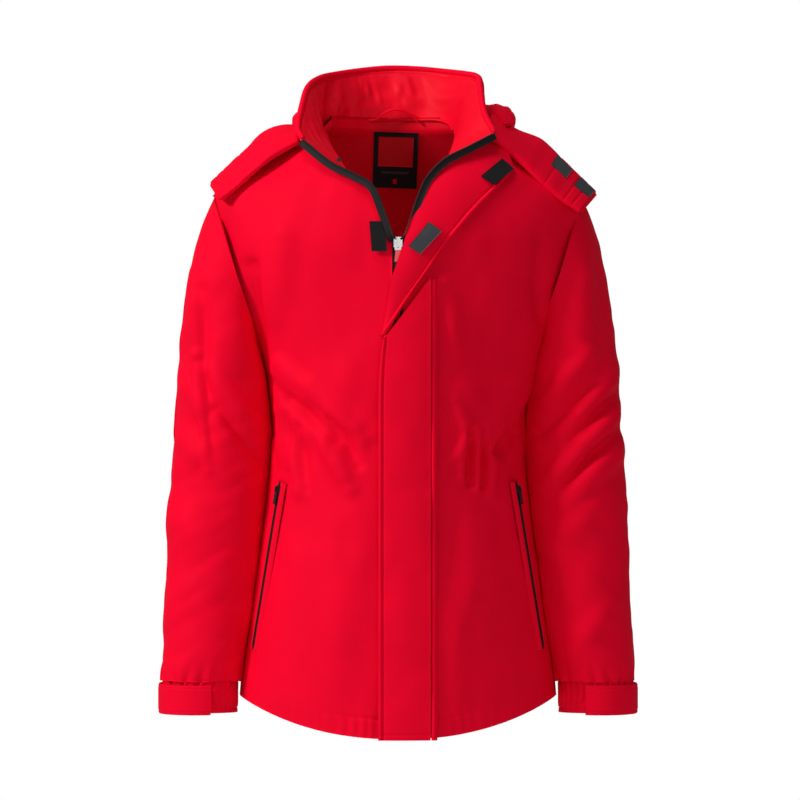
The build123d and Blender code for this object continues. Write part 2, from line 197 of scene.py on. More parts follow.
def noise(x: Array, y: Array, size: float, seed: int) -> Array:
    """Smooth random field: a lattice of random heights joined by smoothstep blends.

    Args:
        x: first coordinate, millimetres.
        y: second coordinate, millimetres.
        size: lattice spacing, millimetres.
        seed: seed of the lattice.

    Returns:
        Heights between -1 and 1.
    """
    table = np.random.default_rng(seed).uniform(-1, 1, (64, 64))
    u, v = x / size, y / size
    i, j = np.floor(u).astype(int), np.floor(v).astype(int)
    fu, fv = u - i, v - j
    fu, fv = fu * fu * (3 - 2 * fu), fv * fv * (3 - 2 * fv)
    low = table[i % 64, j % 64] * (1 - fu) + table[(i + 1) % 64, j % 64] * fu
    high = table[i % 64, (j + 1) % 64] * (1 - fu) + table[(i + 1) % 64, (j + 1) % 64] * fu
    return low * (1 - fv) + high * fv


@dataclass(frozen=True)
class Fold:
    """A soft ridge or crease in the front view.

    Args:
        start: x and z of one end, millimetres.
        end: x and z of the other end.
        width: half width of the fold.
        height: height of the ridge, negative for a crease.
    """

    start: tuple[float, float]
    end: tuple[float, float]
    width: float
    height: float


def fold_height(x: Array, z: Array, folds: tuple[Fold, ...]) -> Array:
    """Sum of folds: each a Gaussian of the distance to its segment, tapering at the ends.

    Args:
        x: first coordinate.
        z: second coordinate.
        folds: the folds.

    Returns:
        Height at each point.
    """
    total = np.zeros_like(x)
    for fold in folds:
        ax, az = fold.start
        dx, dz = fold.end[0] - ax, fold.end[1] - az
        t = np.clip(((x - ax) * dx + (z - az) * dz) / (dx * dx + dz * dz), 0, 1)
        away = (x - ax - t * dx) ** 2 + (z - az - t * dz) ** 2
        taper = 0.35 + 0.65 * np.sin(np.pi * np.clip(t, 0.08, 0.92))
        total += 2.5 * fold.height * taper * np.exp(-away / (2 * fold.width**2))
    return 10.0 * np.tanh(total / 10.0)


def normals(grid: Array, wrap: bool) -> Array:
    """Unit normals of a grid surface, from the cross product of its two gradients."""
    if wrap:
        ring = np.concatenate([grid[-1:], grid, grid[:1]])
        along = (ring[2:] - ring[:-2]) / 2
    else:
        along = np.gradient(grid, axis=0)
    cross = np.cross(along, np.gradient(grid, axis=1))
    return cross / np.maximum(np.linalg.norm(cross, axis=2, keepdims=True), 1e-9)


def make_object(name: str, verts_mm: Array, faces: Array, slot: Slot) -> bpy.types.Object:
    """Closed mesh object in the shared frame.

    Args:
        name: piece name.
        verts_mm: corner positions in the design's millimetres.
        faces: quads as rows of corner indices.
        slot: material slot.

    Returns:
        The linked object, smooth shaded, normals outward.
    """
    verts = (verts_mm - ORIGIN_MM) / 1000.0
    mesh = bpy.data.meshes.new(name)
    mesh.from_pydata(verts.tolist(), [], faces.tolist())
    mesh.validate()
    mesh.shade_smooth()
    tri = faces[:, [0, 1, 2, 0, 2, 3]].reshape(-1, 3)
    corner = verts[tri]
    volume = np.einsum("ij,ij->i", corner[:, 0], np.cross(corner[:, 1], corner[:, 2])).sum()
    if volume < 0:
        mesh.flip_normals()
    made = bpy.data.objects.new(name, mesh)
    bpy.context.scene.collection.objects.link(made)
    made.data.materials.append(material(slot))
    LOG.info("%s: %d faces", name, len(faces))
    return made


def cloth(
    name: str,
    grid: Array,
    thick: float | Array,
    slot: Slot,
    wrap: bool = False,
    outward: float = 1.0,
) -> bpy.types.Object:
    """Closed sheet from a grid: the grid's face, the same face moved in by the thickness, and the rim.

    Args:
        name: piece name.
        grid: outer face, shape (n, m, 3), millimetres.
        thick: thickness, a number or one value per grid point.
        slot: material slot.
        wrap: the first direction closes on itself.
        outward: 1 if the grid's normals point out, -1 if in.

    Returns:
        The object.
    """
    n, m = grid.shape[:2]
    depth = np.broadcast_to(np.asarray(thick, dtype=float), (n, m))[..., None]
    inner = grid - normals(grid, wrap) * outward * depth
    count = n * m
    index = np.arange(count).reshape(n, m)
    if wrap:
        index = np.concatenate([index, index[:1]])
    corners = [index[:-1, :-1], index[1:, :-1], index[1:, 1:], index[:-1, 1:]]
    face = np.stack(corners, axis=-1).reshape(-1, 4)
    parts = [face, face[:, ::-1] + count]
    edges = [index[:, 0][::-1], index[:, -1]]
    if not wrap:
        edges += [index[0, :], index[-1, :][::-1]]
    for edge in edges:
        parts.append(np.stack([edge[:-1], edge[:-1] + count, edge[1:] + count, edge[1:]], axis=-1))
    verts = np.concatenate([grid.reshape(-1, 3), inner.reshape(-1, 3)])
    return make_object(name, verts, np.concatenate(parts), slot)


def tube(name: str, path: Array, radius: float, slot: Slot, squash: float = 1.0) -> bpy.types.Object:
    """Round or oval bar along a path, closed by small end rings.

    Args:
        name: piece name.
        path: points along the middle, millimetres.
        radius: half thickness.
        slot: material slot.
        squash: width of the bar in the second direction, as a share of the first.

    Returns:
        The object.
    """
    along = np.gradient(path, axis=0)
    along /= np.linalg.norm(along, axis=1, keepdims=True)
    side = np.cross(along, np.array([0.0, -1.0, 0.0]))
    side /= np.maximum(np.linalg.norm(side, axis=1, keepdims=True), 1e-9)
    up = np.cross(side, along)
    turn = np.linspace(0, 2 * np.pi, 9)[:-1]
    scale = np.ones(len(path))
    scale[0] = scale[-1] = 0.3
    ring = np.cos(turn)[:, None, None] * side + squash * np.sin(turn)[:, None, None] * up
    grid = path + ring * radius * scale[None, :, None]
    return cloth(name, grid, radius * 0.2, slot, wrap=True, outward=1.0)


BODY = np.array(
    [
        (-785.0, 207.0, -146.0, 150.0),
        (-690.0, 198.0, -146.0, 147.0),
        (-600.0, 186.0, -146.0, 142.0),
        (-500.0, 170.0, -146.0, 128.0),
        (-409.0, 161.0, -146.0, 120.0),
        (-350.0, 166.0, -146.0, 122.0),
        (-290.0, 181.0, -146.0, 128.0),
        (-200.0, 220.0, -146.0, 130.0),
        (-149.0, 232.0, -144.0, 127.0),
        (-98.0, 238.0, -128.0, 116.0),
        (-60.0, 186.0, -108.0, 98.0),
        (-30.0, 131.0, -93.0, 80.0),
        (-12.0, 92.0, -84.0, 68.0),
    ]
)
DENSE = spline(BODY, 400)
ARM = np.array([205.5, -193.0])
V_LEFT = np.array(
    [(-6, -150), (-17, -120), (-32, -86), (-58, -70), (-84, -57), (-121, -27), (-140, -8)], float
)
V_RIGHT = np.array(
    [(8, -150), (25, -100), (37, -75), (58, -53), (92, -35), (122, -19), (140, -8)], float
)

FRONT_FOLDS = (
    Fold((91, -398), (92, -462), 3.2, -8.0),
    Fold((107, -398), (109, -466), 3.2, -7.0),
    Fold((99, -396), (100, -470), 4.0, 5.0),
    Fold((83, -392), (80, -455), 5.0, 4.5),
    Fold((116, -398), (120, -480), 5.0, 5.0),
    Fold((183, -245), (168, -322), 13.0, 7.0),
    Fold((168, -322), (140, -378), 12.0, 9.0),
    Fold((140, -378), (104, -408), 9.0, 8.0),
    Fold((176, -340), (150, -398), 8.0, -7.0),
    Fold((150, -398), (122, -425), 6.0, -7.0),
    Fold((70, -360), (92, -400), 7.0, 4.0),
    Fold((60, -440), (88, -410), 6.0, 3.5),
    Fold((130, -440), (158, -540), 10.0, 3.0),
    Fold((60, -330), (120, -372), 12.0, 3.0),
    Fold((-160, -330), (-122, -402), 9.0, 5.0),
    Fold((-152, -372), (-128, -470), 8.0, 5.5),
    Fold((-138, -360), (-139, -450), 5.0, -4.0),
    Fold((-124, -392), (-118, -470), 5.0, -3.0),
    Fold((-110, -388), (-70, -452), 8.0, 2.5),
    Fold((-165, -300), (-120, -352), 9.0, 3.5),
    Fold((-186, -190), (-170, -330), 7.0, -8.0),
    Fold((-168, -330), (-160, -400), 6.0, -6.0),
    Fold((-150, -310), (-60, -392), 6.0, 3.2),
    Fold((-156, -335), (-80, -410), 5.0, -3.2),
    Fold((-110, -340), (-40, -405), 7.0, 3.0),
    Fold((-100, -392), (-60, -470), 7.0, 3.5),
    Fold((-84, -384), (-50, -440), 5.0, -3.0),
    Fold((-150, -150), (-165, -280), 14.0, 5.0),
    Fold((182, -158), (176, -296), 7.0, -4.0),
    Fold((-60, -520), (-80, -700), 22.0, 3.0),
    Fold((-130, -560), (-150, -730), 18.0, 3.5),
    Fold((110, -520), (140, -700), 20.0, 3.5),
    Fold((70, -560), (80, -720), 16.0, 2.0),
    Fold((-40, -300), (-90, -360), 20.0, 2.0),
    Fold((60, -210), (75, -300), 10.0, 3.0),
)


def plane_x(z: Array) -> Array:
    """Where the armhole plane stands at a height."""
    return ARM[0] + 0.2793 * (z - ARM[1])


def body_point(turn: Array, z: Array, out: float | Array = 0.0) -> Array:
    """Body surface: an ellipse at each height, its sides trimmed flat at the armholes.

    Args:
        turn: angle round the body, -90 degrees at the front, radians.
        z: height, millimetres.
        out: distance moved outwards.

    Returns:
        Points, shape of the inputs with 3 added.
    """
    half = np.interp(z, DENSE[:, 0], DENSE[:, 1]) + out
    front = np.interp(z, DENSE[:, 0], DENSE[:, 2]) - out
    back = np.interp(z, DENSE[:, 0], DENSE[:, 3]) + out
    x = half * np.cos(turn)
    y = (front + back) / 2 + (back - front) / 2 * np.sin(turn)
    limit = np.where(z > -300, plane_x(z) + 0.5 * out + 3.0, 400.0)
    return np.stack([np.clip(x, -limit, limit), y, z + 0 * x], axis=-1)


def front_point(x: Array, z: Array, out: float | Array = 0.0) -> Array:
    """Point of the body's front surface above a place in the front view."""
    half = np.interp(z, DENSE[:, 0], DENSE[:, 1]) + out
    front = np.interp(z, DENSE[:, 0], DENSE[:, 2]) - out
    back = np.interp(z, DENSE[:, 0], DENSE[:, 3]) + out
    y = (front + back) / 2 - (back - front) / 2 * np.sqrt(np.clip(1 - (x / half) ** 2, 0, 1))
    return np.stack([x, y, z], axis=-1)


def hem_rise(turn: Array) -> Array:
    """How far the hem climbs above its lowest point: most at the sides, a little at the back."""
    side = np.abs(np.cos(turn)) ** 2.2
    return np.where(np.sin(turn) < 0, 51 * side, 10 + 41 * side)


def surface_detail(p: Array, rise: Array) -> Array:
    """Height of folds, puckers and seam grooves over the body, in millimetres."""
    x, y, z = p[..., 0], p[..., 1], p[..., 2]
    facing = np.clip(-y / 60.0, 0, 1)
    height = fold_height(x, z, FRONT_FOLDS) * facing
    round_ = np.arctan2(y, x) * 180
    broad = 3.4 * noise(round_ + 900, z * 0.6 + 2000, 80.0, 3)
    height += broad + 1.3 * noise(round_ + 900, z * 0.5 + 2000, 27.0, 5)
    waist = np.exp(-(((z + 412) / 26.0) ** 2))
    drift = 2 * noise(round_ + 900, z + 2000, 40, 9)
    height += waist * (1 - 0.5 * facing) * 1.8 * np.sin(round_ / 5.0 + drift)
    low = z - rise
    hem = np.exp(-(((low + 772) / 15.0) ** 2))
    height += hem * 1.1 * np.sin(round_ / 2.6 + 2.5 * noise(round_ + 900, z + 2000, 28, 12))
    height -= 1.6 * np.exp(-(((low + 760) / 1.6) ** 2))
    yoke = np.exp(-(((z + 190 + 0.0006 * x**2) / 1.6) ** 2)) * (y > 20)
    along = np.clip((-465 - z) / 206.0, 0, 1)
    away = (np.abs(x) - 147 - 34 * along) ** 2 + np.clip(np.abs(z + 568) - 103, 0, None) ** 2
    height *= 1 - 0.85 * np.exp(-away / 400.0) * facing
    return height - 0.9 * yoke


class Torso:
    """Shell and lining of the body."""

    @staticmethod
    def grid(
        columns: int, rows: int, out: float, detail: float, slit: float, neck: float = -12.0
    ) -> Array:
        """Grid from one front edge round the back to the other, and from hem to neck.

        Each column ends where it meets the neck opening's outline.
        """
        edge = np.arcsin(slit / 180.0)
        turn = np.linspace(-np.pi / 2 + edge, 1.5 * np.pi - edge, columns)
        scan = np.linspace(-785, neck, 900)
        p = body_point(turn[:, None], np.broadcast_to(scan, (columns, 900)), out)
        left = np.interp(scan, V_LEFT[:, 1], V_LEFT[:, 0], left=0.0)
        right = np.interp(scan, V_RIGHT[:, 1], V_RIGHT[:, 0], left=0.0)
        inside = (p[..., 0] > left) & (p[..., 0] < right) & (p[..., 1] < -15) & (scan > -150)
        top = np.where(inside.any(axis=1), scan[inside.argmax(axis=1)], neck)
        share = np.linspace(0, 1, rows)
        rise = hem_rise(turn)[:, None]
        z = -785 + rise + share[None, :] * (top[:, None] + 785 - rise)
        base = body_point(turn[:, None], z, out)
        lift = surface_detail(base, rise) * detail
        push = normals(base, False)
        sign = np.sign((push * base)[..., :2].sum(axis=-1, keepdims=True))
        limit = np.clip((plane_x(z) + 60 - np.abs(base[..., 0])) / 60, 0, 1)
        return base + push * sign * (lift * np.clip(limit, 0.2, 1))[..., None]

    def build(self) -> None:
        """Make the shell and the linings."""
        shell = cloth("jacket_shell", self.grid(420, 300, 0.0, 1.0, 6.0), 3.0, Slot.SHELL, outward=1.0)
        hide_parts("body_shell", "body_padding")
        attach(shell, "jacket")
        inner = self.grid(260, 180, -6.0, 0.5, 12.0, 5.0)
        lining = cloth("jacket_lining", inner, 1.5, Slot.LINING, outward=1.0)
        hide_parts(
            "front_lining", "back_lining", "back_yoke_lining", "hem_facing",
            "waist_casing", "waist_elastic", "pocket_bag_left", "pocket_bag_right",
        )
        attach(lining, "jacket")


RIM = np.array(
    [
        (-6, -147, -150), (-17, -141, -120), (-32, -131, -86), (-58, -119, -70), (-84, -107, -57),
        (-121, -82, -27), (-127, -62, -14), (-122, -38, 18), (-115, -12, 41), (-100, 22, 54), (-80, 50, 60),
        (-45, 72, 66), (-14, 79, 69), (25, 78, 68), (62, 65, 64), (86, 36, 60), (99, 5, 56),
        (104, -15, 50), (106, -36, 30), (110, -58, 6), (122, -82, -19),
        (92, -99, -35), (58, -114, -53), (37, -125, -75), (25, -135, -100), (8, -147, -150),
    ],
    float,
)
SEAM = np.array(
    [
        (-12, -116, -152), (-26, -108, -120), (-42, -100, -90), (-62, -92, -70), (-72, -78, -55),
        (-80, -58, -42), (-86, -36, -30), (-89, -14, -20), (-89, 8, -12), (-86, 28, -6), (-72, 44, 0),
        (-42, 57, 2), (-10, 61, 3), (22, 60, 3), (52, 46, 2), (66, 28, -4), (70, 8, -12),
        (72, -14, -20), (70, -36, -30), (66, -58, -42), (60, -78, -55),
        (54, -92, -66), (48, -98, -78), (42, -102, -92), (34, -108, -110), (16, -116, -152),
    ],
    float,
)


class Collar:
    """Padded stand collar with the front facings that run down to the zip."""

    def build(self) -> None:
        """Make the collar, its rolled edge and the neck seam."""
        count, rows = 420, 60
        rim, seam = spline(RIM, count), spline(SEAM, count)
        t = np.linspace(0, 1, rows)[None, :, None]
        grid = rim[:, None] * (1 - t) + seam[:, None] * t
        s = np.linspace(0, 1, count)
        inner = np.sin(np.pi * np.clip((s - 0.2) / 0.6, 0, 1)) ** 0.5
        push = normals(grid, False)
        mid = np.array([0.0, -20.0, 20.0])
        sign = np.sign(((mid - grid) * push).sum(axis=-1, keepdims=True))
        puff = 5.0 * np.sin(np.pi * t[..., 0]) * inner[:, None]
        a, b = grid[..., 0] + 400 + grid[..., 1], grid[..., 2] + 600
        wrinkle = 3.6 * noise(a * 1.3, b * 0.5, 24.0, 21) + 1.8 * noise(a * 1.6, b * 0.9, 12.0, 22)
        wrinkle *= (inner * np.ones(count))[:, None] * np.sin(np.pi * np.clip(t[..., 0], 0.05, 0.97))
        dent = -10.0 * np.exp(-(((grid[..., 0] + 87) / 7) ** 2)) * (grid[..., 1] > -30)
        dent = dent * np.sin(np.pi * t[..., 0])
        groove = -1.2 * np.exp(-(((t[..., 0] - 0.10) / 0.012) ** 2))
        face = grid + push * sign * (puff + wrinkle + dent + groove)[..., None]
        thick = (1.6 + 7.0 * inner)[:, None] * np.ones((1, rows))
        normal_out = float(np.sign((normals(face, False) * push * sign).sum()))
        piece = cloth("collar", face, thick, Slot.LINING, outward=normal_out)
        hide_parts("collar_inner", "collar_outer", "collar_padding")
        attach(piece, "jacket")
        edge = spline(RIM[5:21], 200) + np.array([0, 1.0, 0.5])
        roll = tube("collar_edge", edge, 3.2, Slot.SHELL)
        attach(roll, "jacket")
        line = tube("neck_seam", spline(SEAM[9:17], 120) + np.array([0, -3.5, -1.0]), 1.6, Slot.LINING)
        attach(line, "jacket")
        self.loop()
        self.label()

    def loop(self) -> None:
        """Hanging loop: a flat arched ribbon at the back neck seam."""
        t = np.linspace(0, 1, 60)
        x = -27 + 51 * t
        z = 1 + 14.5 * np.sin(np.pi * t) ** 0.75 - 2 * t
        y = 52 - 3.0 * np.sin(np.pi * t)
        path = np.stack([x, y, z], axis=1)
        across = np.stack([0 * t, 4.0 + 0 * t, 1.6 + 0 * t], axis=1)
        share = np.linspace(-1, 1, 7)[:, None, None]
        ribbon = cloth("hanging_loop", path[None] + across[None] * share, 1.4, Slot.LINING)
        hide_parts("hanger_loop")
        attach(ribbon, "jacket")

    def label(self) -> None:
        """Woven neck label with a plain square in its upper part."""
        x = np.linspace(-32, 25, 40)[:, None]
        z = np.linspace(-84, -14, 50)[None, :]
        field = self.back_face(x + 0 * z, z + 0 * x, 9.0, tilt=0.035)
        piece = cloth("neck_label_cloth", field, 1.0, Slot.TAPE, outward=-1.0)
        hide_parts("neck_label")
        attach(piece, "jacket")
        x = np.linspace(-26, 19, 30)[:, None]
        z = np.linspace(-57, -20, 30)[None, :]
        field = self.back_face(x + 0 * z, z + 0 * x, 10.4, 0.035)
        square = cloth("neck_label_square", field, 0.6, Slot.LABEL_RED, outward=-1.0)
        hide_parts("neck_label_patch")
        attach(square, "jacket")
        marks = (
            ("label_bar", (-22.0, 15.0), (-66.0, -63.0), Slot.HOOK),
            ("label_size_mark", (-6.0, -1.0), (-79.0, -73.0), Slot.LABEL_RED),
        )
        for name, (x0, x1), (z0, z1), slot in marks:
            x, z = np.linspace(x0, x1, 12)[:, None], np.linspace(z0, z1, 6)[None, :]
            mark = cloth(name, self.back_face(x + 0 * z, z + 0 * x, 10.4, 0.035), 0.5, slot, outward=-1.0)
            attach(mark, "jacket")

    @staticmethod
    def back_face(x: Array, z: Array, inward: float, tilt: float) -> Array:
        """Inner face of the back, seen through the neck opening, with a slight turn."""
        turned_x = x + tilt * (z + 55)
        turned_z = z - tilt * x
        half = np.interp(turned_z, DENSE[:, 0], DENSE[:, 1]) - inward
        front = np.interp(turned_z, DENSE[:, 0], DENSE[:, 2]) + inward
        back = np.interp(turned_z, DENSE[:, 0], DENSE[:, 3]) - inward
        y = (front + back) / 2 + (back - front) / 2 * np.sqrt(np.clip(1 - (turned_x / half) ** 2, 0, 1))
        return np.stack([turned_x, y, turned_z], axis=-1)


SLEEVE = np.array(
    [
        (206.3, 0.0, -193.2, 96.0, 66.0, 15.6),
        (214.5, 0.0, -227.5, 83.0, 66.0, 28.3),
        (217.5, 0.0, -298.5, 66.5, 65.0, 54.4),
        (221.0, -1.0, -365.0, 60.5, 62.0, 75.2),
        (225.0, -2.0, -450.0, 61.0, 60.0, 90.0),
        (231.0, -4.0, -523.0, 60.0, 58.0, 90.0),
        (239.0, -6.0, -622.0, 56.5, 55.0, 90.0),
        (246.5, -8.0, -685.0, 52.0, 52.0, 90.0),
        (250.5, -9.0, -716.0, 50.0, 50.0, 90.0),
    ]
)
LEFT_ARM_FOLDS = (
    Fold((279, -318), (232, -372), 7.0, 5.0),
    Fold((284, -345), (222, -410), 6.0, -5.0),
    Fold((284, -362), (206, -447), 7.0, 6.0),
    Fold((284, -392), (212, -462), 6.0, -5.0),
    Fold((286, -410), (214, -490), 8.0, 5.5),
    Fold((240, -300), (190, -360), 7.0, 5.0),
    Fold((250, -340), (182, -400), 6.0, -4.5),
    Fold((228, -430), (186, -470), 7.0, 4.0),
    Fold((262, -480), (200, -540), 12.0, 3.0),
    Fold((255, -150), (262, -280), 12.0, -3.0),
    Fold((236, -180), (232, -290), 12.0, 3.0),
    Fold((270, -620), (225, -670), 10.0, 2.5),
)
RIGHT_ARM_FOLDS = (
    Fold((259, -195), (256, -300), 4.0, 3.5),
    Fold((256, -300), (240, -447), 4.0, 3.0),
    Fold((248, -220), (242, -440), 8.0, -3.0),
    Fold((276, -330), (215, -400), 10.0, 3.0),
    Fold((282, -400), (200, -470), 10.0, 3.0),
    Fold((240, -320), (186, -390), 8.0, 4.0),
    Fold((230, -370), (180, -430), 6.0, -4.0),
    Fold((280, -500), (230, -560), 14.0, 2.5),
    Fold((262, -600), (215, -660), 12.0, 2.5),
)


class Sleeve:
    """One sleeve with its lining, cuff and cuff tab."""

    def __init__(self, side: Side) -> None:
        self.side = side
        self.folds = LEFT_ARM_FOLDS if side is Side.LEFT else RIGHT_ARM_FOLDS
        self.across = np.array([float(side.value), 1.0, 1.0])

    def tube_grid(self, round_count: int, rows: int, inward: float, detail: float) -> Array:
        """Sleeve surface: ellipses on planes that turn from the armhole to level, pressed by the body."""
        path = spline(SLEEVE, rows)
        tilt = np.radians(path[:, 5])
        out = np.stack([np.sin(tilt), 0 * tilt, np.cos(tilt)], axis=1)
        turn = np.linspace(0, 2 * np.pi, round_count + 1)[:-1]
        half, depth = path[:, 3] - inward, path[:, 4] - inward
        grid = path[None, :, :3] + np.cos(turn)[:, None, None] * (half[:, None] * out)[None]
        grid = grid + np.sin(turn)[:, None, None] * (depth[:, None] * np.array([0, 1.0, 0]))[None]
        push = normals(grid, True)
        sign = np.sign(((grid - path[None, :, :3]) * push).sum(axis=-1, keepdims=True))
        x, z = grid[..., 0], grid[..., 2]
        fade = np.clip((np.arange(rows) / rows - 0.02) / 0.08, 0, 1)
        facing = np.clip(-grid[..., 1] / 45.0 + 0.25, 0.15, 1)
        height = fold_height(x, z, self.folds) * facing
        round_ = turn[:, None] * 55 + 500
        height += 2.6 * noise(round_ + 0.5 * z, z + 1500, 55.0, 31 + self.side.value)
        height += 1.1 * noise(round_ + 0.8 * z + 300, z + 1500, 24.0, 35 + self.side.value)
        end = np.clip((z + 690) / -26.0, 0, 1)
        drift = noise(round_ + 0 * z, z + 1500, 20.0, 8)
        height += end * (1.6 * np.sin(turn[:, None] * 17 + drift) - 2.5 * end)
        grid = grid + push * sign * (height * fade * detail)[..., None]
        half_body = np.interp(grid[..., 2], DENSE[:, 0], DENSE[:, 1])
        front = np.interp(grid[..., 2], DENSE[:, 0], DENSE[:, 2])
        back = np.interp(grid[..., 2], DENSE[:, 0], DENSE[:, 3])
        lean = np.clip(1 - ((grid[..., 1] - (front + back) / 2) / ((back - front) / 2)) ** 2, 0, 1)
        wall = half_body * np.sqrt(lean) + 3.5 + inward
        low = np.where(grid[..., 2] > -300, np.minimum(wall, plane_x(grid[..., 2]) + 1.0), wall)
        grid[..., 0] = np.maximum(grid[..., 0], low * (fade > 0) + grid[..., 0] * (fade <= 0))
        return grid

    def build(self) -> None:
        """Make the sleeve's pieces."""
        word, sign = self.side.word, self.side.value
        grid = self.tube_grid(150, 250, 0, 1.0) * self.across
        outer = cloth(f"sleeve_cloth_{word}", grid, 3.0, Slot.SHELL, True, sign)
        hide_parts(f"sleeve_shell_{word}", f"sleeve_padding_{word}")
        grid = self.tube_grid(110, 180, 6.0, 0.6) * self.across
        inner = cloth(f"sleeve_lining_cloth_{word}", grid, 1.2, Slot.LINING, True, sign)
        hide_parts(f"sleeve_lining_{word}")
        for piece in (outer, inner):
            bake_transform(piece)
        self.cuff(word)

    def ring(self, turn: Array, z: Array, out: float | Array) -> Array:
        """Point on the wrist's oval."""
        x = 252.5 + (48.5 + out) * np.cos(turn)
        y = -10.0 + (48.0 + out) * np.sin(turn)
        return np.stack(np.broadcast_arrays(x, y, z), axis=-1)

    def cuff(self, word: str) -> None:
        """Gathered cuff and the tab that closes over it."""
        turn = np.linspace(0, 2 * np.pi, 241)[:-1][:, None]
        z = np.linspace(-756, -706, 60)[None, :]
        sign = self.side.value
        drift = 1.5 * noise(turn * 50 + 200, z + 1500, 16, 4)
        gather = 1.3 * np.sin(turn * 30 + drift) * np.clip((z + 756) / 12, 0.3, 1)
        out = -1.0 + gather - 1.5 * np.exp(-(((z + 714) / 2.5) ** 2))
        out = out - 0.9 * np.exp(-(((z + 750) / 1.2) ** 2))
        grid = self.ring(turn, z, out) * self.across
        ring = cloth(f"cuff_cloth_{word}", grid, 3.0, Slot.SHELL, True, sign)
        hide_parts(f"cuff_{word}")
        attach(ring, f"sleeve_{word}")
        turn = np.radians(np.linspace(-106, 34, 120))[:, None]
        z = np.linspace(-757, -719, 40)[None, :]
        edge = np.minimum(z + 757, -719 - z) / 4.0
        stitch = -0.7 * np.exp(-((edge - 1.0) ** 2) / 0.05)
        out = 4.0 + 1.2 * np.sin(np.clip(edge, 0, 1) * np.pi / 2) + stitch
        out = out + 1.5 * np.clip((turn - 0.2) / 0.3, 0, 1) * (0.5 + 0.5 * (-719 - z) / 38)
        strap = self.ring(turn, z, out)
        strap = strap + np.array([0, 0, 1.0]) * (1.5 * np.sin(turn * 1.2) + 0 * z)[..., None]
        tab = cloth(f"cuff_tab_cloth_{word}", strap * self.across, 2.2, Slot.SHELL, False, sign)
        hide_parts(f"cuff_tab_{word}")
        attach(tab, f"cuff_tab_{word}_body")
        for name, out_by, body in (
            (f"cuff_tab_hook_{word}", 1.8, f"cuff_tab_{word}_body"),
            (f"cuff_loop_{word}", 0.9, f"sleeve_{word}"),
        ):
            turn = np.radians(np.linspace(-56, 26, 60))[:, None]
            z = np.linspace(-749, -726, 16)[None, :]
            grid = self.ring(turn, z, out_by) * self.across
            patch = cloth(f"{name}_patch", grid, 0.7, Slot.LOOP, False, sign)
            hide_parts(name)
            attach(patch, body)


def flap_grid(left: Array, right: Array, rows: int, columns: int, out: float) -> Array:
    """Panel between two front-view edges, laid over the body at a distance."""
    a, b = spline(left, rows), spline(right, rows)
    share = np.linspace(0, 1, columns)[:, None, None]
    flat = a[None] * (1 - share) + b[None] * share
    return front_point(flat[..., 0], flat[..., 1], out)


